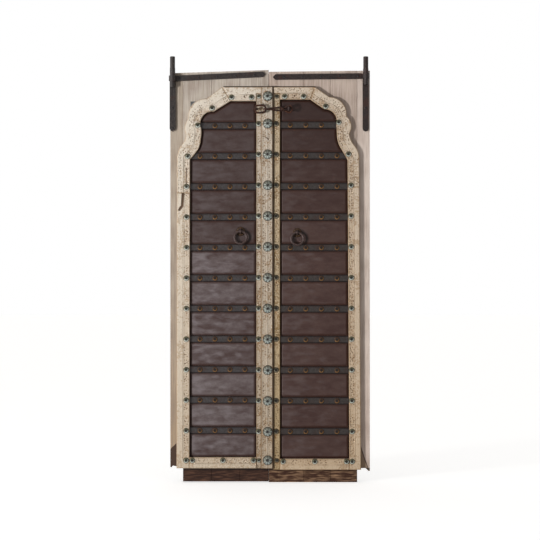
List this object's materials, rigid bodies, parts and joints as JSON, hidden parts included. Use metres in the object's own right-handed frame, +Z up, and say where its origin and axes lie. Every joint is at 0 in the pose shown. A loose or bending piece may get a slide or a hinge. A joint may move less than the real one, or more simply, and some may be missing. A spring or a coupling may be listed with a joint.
{
  "type": "double door",
  "caption": "Tall closed pair of carved wooden pivot door leaves with a cusped arch border, iron sheets, studded straps, pull rings and a chain latch.",
  "frame": {"origin": "on the floor line under the middle of the closed pair, half way through its depth", "axes": "+X to the viewer's right, +Z up; the carved front faces -Y and the right leaf opens towards +Y"},
  "size_m": [1.0063, 0.1312, 2.131],
  "materials": {
    "board_wood": "weathered boards with worn whitewash",
    "carved_wood": "carved wood with worn cream limewash",
    "sheet_iron": "rolled iron sheet, dark brown patina",
    "strap_iron": "forged flat iron, dark",
    "strap_studs": "rusted rose heads",
    "border_nails": "worn nail heads, tinned rim",
    "boss_metal": "tinned petalled bosses, tarnished",
    "top_iron": "forged black iron",
    "ring_iron": "forged ring, worn dark",
    "plate_brass": "tarnished petalled plate",
    "latch_iron": "rusted chain"
  },
  "bodies": {
    "left_leaf": {"astragal": "carved_wood", "astragal_bosses": "boss_metal", "latch_staple": "latch_iron", "left_board_1": "board_wood", "left_board_2": "board_wood", "left_board_3": "board_wood", "left_haunch_trim": "carved_wood", "left_head_trim": "carved_wood", "left_inner_strip": "carved_wood", "left_iron_nails": "top_iron", "left_ledges": "board_wood", "left_outer_plank": "board_wood", "left_panels": "sheet_iron", "left_patch": "top_iron", "left_pivot_iron": "top_iron", "left_pull_rosette": "plate_brass", "left_pull_staple": "ring_iron", "left_rail_trim": "carved_wood", "left_stile_trim": "carved_wood", "left_strap_studs": "strap_studs", "left_straps": "strap_iron", "left_strip_nails": "border_nails", "left_top_strap": "top_iron", "left_trim_nails": "border_nails"},
    "right_leaf": {"right_board_1": "board_wood", "right_board_2": "board_wood", "right_board_3": "board_wood", "right_board_4": "board_wood", "right_haunch_trim": "carved_wood", "right_head_trim": "carved_wood", "right_inner_strip": "carved_wood", "right_iron_nails": "top_iron", "right_ledges": "board_wood", "right_outer_plank": "board_wood", "right_panels": "sheet_iron", "right_pivot_iron": "top_iron", "right_pull_rosette": "plate_brass", "right_pull_staple": "ring_iron", "right_rail_trim": "carved_wood", "right_stile_trim": "carved_wood", "right_strap_studs": "strap_studs", "right_straps": "strap_iron", "right_strip_nails": "border_nails", "right_top_strap": "top_iron", "right_trim_nails": "border_nails", "latch_keeper": "latch_iron"},
    "left_ring": {"left_pull_ring": "ring_iron"},
    "right_ring": {"right_pull_ring": "ring_iron"},
    "link_a": {"latch_link_a": "latch_iron"},
    "link_b": {"latch_link_b": "latch_iron"},
    "link_c": {"latch_link_c": "latch_iron"}
  },
  "joints": [
    {"name": "right_leaf_swing", "type": "hinge", "parent": "left_leaf", "child": "right_leaf", "pos_m": [0.4815, -0.0236, 1], "axis": [0, 0, -1], "range_deg": [0, 95]},
    {"name": "left_ring_swing", "type": "hinge", "parent": "left_leaf", "child": "left_ring", "pos_m": [-0.145, -0.028, 1.257], "axis": [-1, 0, 0], "range_deg": [-8, 150]},
    {"name": "right_ring_swing", "type": "hinge", "parent": "right_leaf", "child": "right_ring", "pos_m": [0.139, -0.028, 1.2505], "axis": [-1, 0, 0], "range_deg": [-8, 150]},
    {"name": "link_a_swing", "type": "hinge", "parent": "left_leaf", "child": "link_a", "pos_m": [-0.0695, -0.04825, 1.866], "axis": [0, 0, -1], "range_deg": [0, 75]},
    {"name": "link_b_swing", "type": "hinge", "parent": "link_a", "child": "link_b", "pos_m": [-0.018, -0.04825, 1.866], "axis": [0, 0, -1], "range_deg": [0, 60]},
    {"name": "link_c_swing", "type": "hinge", "parent": "link_b", "child": "link_c", "pos_m": [0.06545, -0.04825, 1.866], "axis": [0, 0, -1], "range_deg": [0, 60]}
  ]
}
